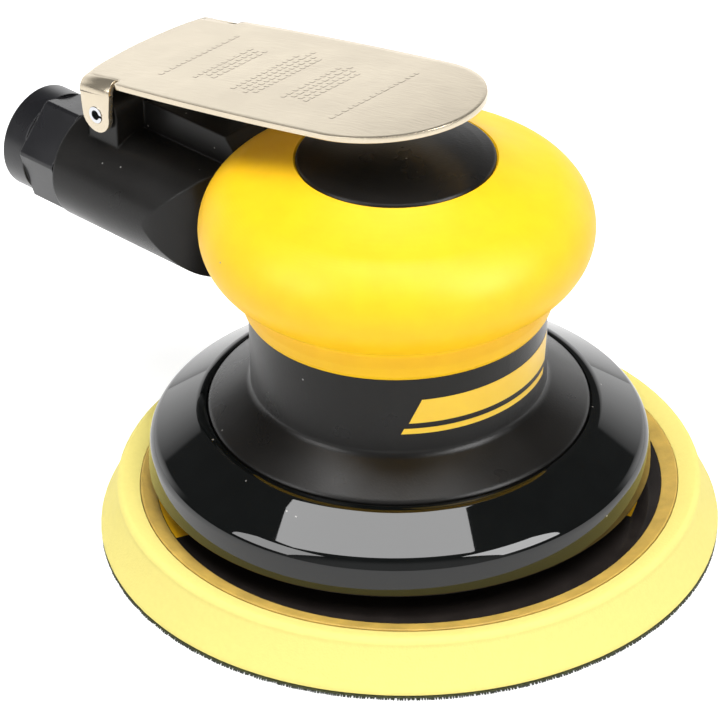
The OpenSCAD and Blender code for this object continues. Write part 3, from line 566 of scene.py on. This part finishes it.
# ---- Shroud: one smooth turned skin, a leaning lip under a round shoulder and a cone ----
def add_shroud():
    lip_lean = 6
    cone_turn = 58.6
    lip_round = 0.7
    shoulder_r = 3.5
    shoulder_z = SHROUD_LOW_Z + 4.95
    rim_round = 3.45
    lip_edge_z = SHROUD_LOW_Z + 0.9
    wall = 2.0
    wall_h = shoulder_z + shoulder_r * sin(radians(lip_lean)) - lip_edge_z
    shoulder_x = SHROUD_R - wall_h * tan(radians(lip_lean)) - shoulder_r * cos(radians(lip_lean))
    skirt_r = SHROUD_R - wall
    outline = arc_points(SHROUD_R - lip_round, SHROUD_LOW_Z + lip_round, lip_round - 0.01, -90, lip_lean, 8)
    outline += arc_points(shoulder_x, shoulder_z, shoulder_r - 0.01, lip_lean, cone_turn, 24)
    outline += arc_points(SHROUD_RIM_R, SHROUD_TOP_Z - rim_round, rim_round - 0.01, cone_turn, 90, 16)
    outline += [(SHROUD_RIM_R - 0.35, SHROUD_TOP_Z - 0.03), (SHROUD_RIM_R - 0.44, SHROUD_TOP_Z - 0.15)]
    outline += [(SHROUD_RIM_R - 0.44, SHROUD_SEAT_Z), (SHROUD_SEAT_R, SHROUD_SEAT_Z)]
    outline += [(SHROUD_SEAT_R, 22.45), (skirt_r - 4.9, 22.42), (skirt_r - 1.1, shoulder_z + 1.05)]
    outline += [(skirt_r - 0.05, shoulder_z - 0.45), (skirt_r + 0.02, SHROUD_LOW_Z + 0.3)]
    outline += [(skirt_r + 0.3, SHROUD_LOW_Z + 0.02)]
    points, faces = turned(outline, 360)
    make_piece("shroud_skin", points, faces, FINISHES["gloss_black"], "housing", ["shroud"])


# ---- Label: plain amber fields on the black ring ----
def add_label_field(name, start, end, inner, outer):
    """A thin printed field between two angles about the pad's axis."""
    steps = 40
    low = LABEL_TOP_Z - 0.02
    top = LABEL_TOP_Z + 0.03
    points = []
    for i in range(steps + 1):
        a = radians(start + (end - start) * i / steps)
        for r, z in ((inner, low), (inner, top), (outer, top), (outer, low)):
            points.append((PAD_X + r * cos(a), r * sin(a), z))
    make_piece(name, points, stack_faces(0, 4, steps + 1), AMBER, "pad")


# ---- Neck: plain stripes printed round its right side ----
def add_stripe(name, start, end, low, high, slant):
    """A printed band on the neck; its ends lean by a slant in degrees."""
    across = 48
    rows = 8
    inner_r = NECK_R - 0.02
    outer_r = NECK_R + 0.04
    points = []
    for j in range(rows + 1):
        z = low + (high - low) * j / rows
        lean = slant * j / rows
        for i in range(across + 1):
            a = radians(start + lean + (end - start) * i / across)
            points.append((outer_r * cos(a), outer_r * sin(a), z))
    inner = len(points)
    points += [(x * inner_r / outer_r, y * inner_r / outer_r, z) for x, y, z in points]
    faces = []
    wide = across + 1
    for j in range(rows):
        for i in range(across):
            k = j * wide + i
            faces.append((k, k + 1, k + wide + 1, k + wide))
            faces.append((inner + k, inner + k + wide, inner + k + wide + 1, inner + k + 1))
    for i in range(across):
        top = rows * wide + i
        faces.append((i, inner + i, inner + i + 1, i + 1))
        faces.append((top, top + 1, inner + top + 1, inner + top))
    for j in range(rows):
        left = j * wide
        right = left + across
        faces.append((left, left + wide, inner + left + wide, inner + left))
        faces.append((right, inner + right, inner + right + wide, right + wide))
    make_piece(name, points, faces, STRIPE, "housing")


# ---- Lever: a thin pressed sheet with rolled ears ----
SPINE_START = -66
SPINE_END = 2
DROOP_START = -8.2
DROOP_RATE = 0.001


def lever_point(along, across, rise):
    """A place in the lever's own frame, as a place in the part's frame."""
    return (along * cos(LEVER_SLOPE) - rise * sin(LEVER_SLOPE), across,
            LEVER_TOP_Z + along * sin(LEVER_SLOPE) + rise * cos(LEVER_SLOPE))


def lever_droop(along):
    """How far the sheet bends down towards its round tip."""
    past = max(0.0, along - DROOP_START)
    return DROOP_RATE * past * past


def lever_half_width(along):
    s = -along - TIP_START
    return LEVER_HALF + SIDE_SLOPE * s - SIDE_BOW * s * s


def lever_side():
    """One side of the sheet's outline, from the hinge end past the ear's bend to the tip."""
    bend_y = EAR_FACE - BEND_R
    corner_y = lever_half_width(-60)
    side = [(-HINGE_END, 0), (-HINGE_END + 0.1, 3), (-HINGE_END + 0.5, 8), (-HINGE_END + 0.9, 11)]
    side += [(-HINGE_END + 1.3, 13), (-EAR_OUT - 0.35, bend_y - 0.9), (-EAR_OUT, bend_y)]
    side += [(-68, bend_y), (-65, bend_y), (-EAR_IN, bend_y), (-EAR_IN + 0.9, bend_y)]
    side += [(-EAR_IN + 1.15, bend_y + 0.25), (-EAR_IN + 1.2, corner_y - 0.7)]
    side += [(-EAR_IN + 1.45, corner_y - 0.15)]
    side += [(-s, lever_half_width(-s)) for s in range(60, 3, -3)]
    for angle in range(90, 0, -3):
        side.append((-TIP_START + TIP_REACH * cos(radians(angle)), LEVER_HALF * sin(radians(angle))))
    return side


def add_lever():
    """Two skins, each of rings that shrink from the outline to a line down the middle, and two ears."""
    side = lever_side()
    outline = side + [(-TIP_START + TIP_REACH, 0)] + [(x, -y) for x, y in reversed(side) if y > 0]
    count = len(outline)
    rings = 9
    points = []
    for rise in (0, -LEVER_T):
        for k in range(rings + 1):
            t = 1 - (k / rings) ** 1.3
            for x, y in outline:
                spine = min(max(x, SPINE_START), SPINE_END)
                along = spine + (x - spine) * t
                points.append(lever_point(along, y * t, rise - lever_droop(along)))
    faces = []
    under = (rings + 1) * count
    for k in range(rings):
        for i in range(count):
            j = (i + 1) % count
            a = k * count
            b = a + count
            faces.append((a + i, a + j, b + j, b + i))
            faces.append((under + a + i, under + b + i, under + b + j, under + a + j))
    for i in range(count):
        j = (i + 1) % count
        faces.append((i, under + i, under + j, j))
    for s in (-1, 1):
        add_ear(points, faces, s)
    lever = make_piece("lever_sheet", points, faces, FINISHES["lever_gold"], "lever", ["lever"])
    round_edges(lever, 0.2)


def add_ear(points, faces, s):
    """A quarter bend at the sheet's edge and a tab below it, round at the pin and bored for it."""
    pin_along = (PIN_Z - LEVER_TOP_Z) * sin(LEVER_SLOPE) - PIN_X * cos(LEVER_SLOPE)
    pin_rise = (PIN_Z - LEVER_TOP_Z) * cos(LEVER_SLOPE) + PIN_X * sin(LEVER_SLOPE)
    bore_r = PIN_R + 0.05
    bend_y = EAR_FACE - BEND_R
    steps = 10
    first = len(points)
    for i in range(steps + 1):
        a = radians(90 - 90 * i / steps)
        for r in (BEND_R, BEND_R - LEVER_T):
            for along in (-EAR_OUT, -EAR_IN):
                points.append(lever_point(along, s * (bend_y + r * cos(a)), -BEND_R + r * sin(a)))
    for i in range(steps):
        k = first + 4 * i
        faces += [(k, k + 1, k + 5, k + 4), (k + 2, k + 6, k + 7, k + 3)]
        faces += [(k, k + 4, k + 6, k + 2), (k + 1, k + 3, k + 7, k + 5)]
    k = first + 4 * steps
    faces += [(first, first + 2, first + 3, first + 1), (k, k + 1, k + 3, k + 2)]
    corners = ((-EAR_OUT, -BEND_R), (-EAR_IN, -BEND_R), (pin_along + EAR_TIP_R, pin_rise))
    edge = straight(corners[0], corners[1], 12) + straight(corners[1], corners[2], 8)
    edge += arc_points(pin_along, pin_rise, EAR_TIP_R, 0, -180, 28)
    edge += straight(edge[-1], corners[0], 8)[1:]
    first = len(points)
    n = len(edge)
    for depth in (0, LEVER_T):
        y = s * (EAR_FACE - depth)
        for x, z in edge:
            points.append(lever_point(x, y, z))
        for x, z in edge:
            a = atan2(z - pin_rise, x - pin_along)
            points.append(lever_point(pin_along + bore_r * cos(a), y, pin_rise + bore_r * sin(a)))
    for i in range(n):
        j = (i + 1) % n
        a = first
        b = first + 2 * n
        faces += [(a + i, a + j, a + n + j, a + n + i), (b + i, b + n + i, b + n + j, b + j)]
        faces += [(a + i, b + i, b + j, a + j), (a + n + i, a + n + j, b + n + j, b + n + i)]


# Where each block of marks starts along the sheet, how many rows it has, and how wide it is
MARK_BLOCKS = ((-56, 1, 22), (-48, 3, 15), (-36, 4, 19), (-23, 4, 16), (-6, 1, 23))


def add_lever_marks():
    """Rows of plain low tiles, standing barely proud of the sheet, in place of its stamping."""
    tile = 1.15
    pitch = 1.95
    gap = 0.5
    slope = 0.14
    sunk = -0.02
    proud = 0.05
    ragged = 2.5
    points = []
    faces = []
    for start, rows, width in MARK_BLOCKS:
        for row in range(rows):
            along = start + pitch * row
            across = -width / 2 + ragged * noise.noise(Vector((along, 4.4, 0.3)))
            limit = width / 2 + ragged * noise.noise(Vector((along, 1.7, 8.3)))
            while across < limit:
                length = 0.7 + 1.5 * abs(noise.noise(Vector((along * 1.3, across * 1.7, 2.2))))
                faces += stack_faces(len(points), 4, 2)
                for rise, inset in ((sunk, 0), (proud, slope)):
                    for a, b in ((inset, inset), (tile - inset, inset),
                                 (tile - inset, length - inset), (inset, length - inset)):
                        x = along + a
                        points.append(lever_point(x, across + b, rise - lever_droop(x)))
                across += length + gap
    make_piece("lever_marks", points, faces, FINISHES["lever_gold"], "lever", smooth=10)


bpy.context.scene.view_settings.view_transform = "Standard"
add_camera()
add_world()
add_floor()
add_softbox("lamp_overhead", near=0.074, right=-0.098, up=0.95, wide=0.825, deep=0.25, watts=5.2)
add_softbox("lamp_fill", near=0.38, right=0.14, up=1.05, wide=0.8, deep=0.8, watts=10.3, mirrored=False)
add_softbox("lamp_left", near=0.394, right=-0.74, up=0.545, wide=0.5, deep=0.7, watts=7.0, fills=False)
add_softbox("lamp_right", near=0.45, right=0.67, up=0.59, wide=0.5, deep=0.75, watts=12.5, fills=False)

add_foam()
add_hook_backing()
add_hook_pile()
add_hook_fringe()
add_shroud()
add_label_field("label_field_left", start=-175, end=-112, inner=42, outer=50.75)
add_label_field("label_field_right", start=24, end=62, inner=38, outer=46.6)
add_stripe("neck_stripe_wide", start=-43, end=30, low=40.4, high=45.6, slant=5)
add_stripe("neck_stripe_thin", start=-46, end=27, low=38.0, high=39.2, slant=1.2)
add_lever()
add_lever_marks()
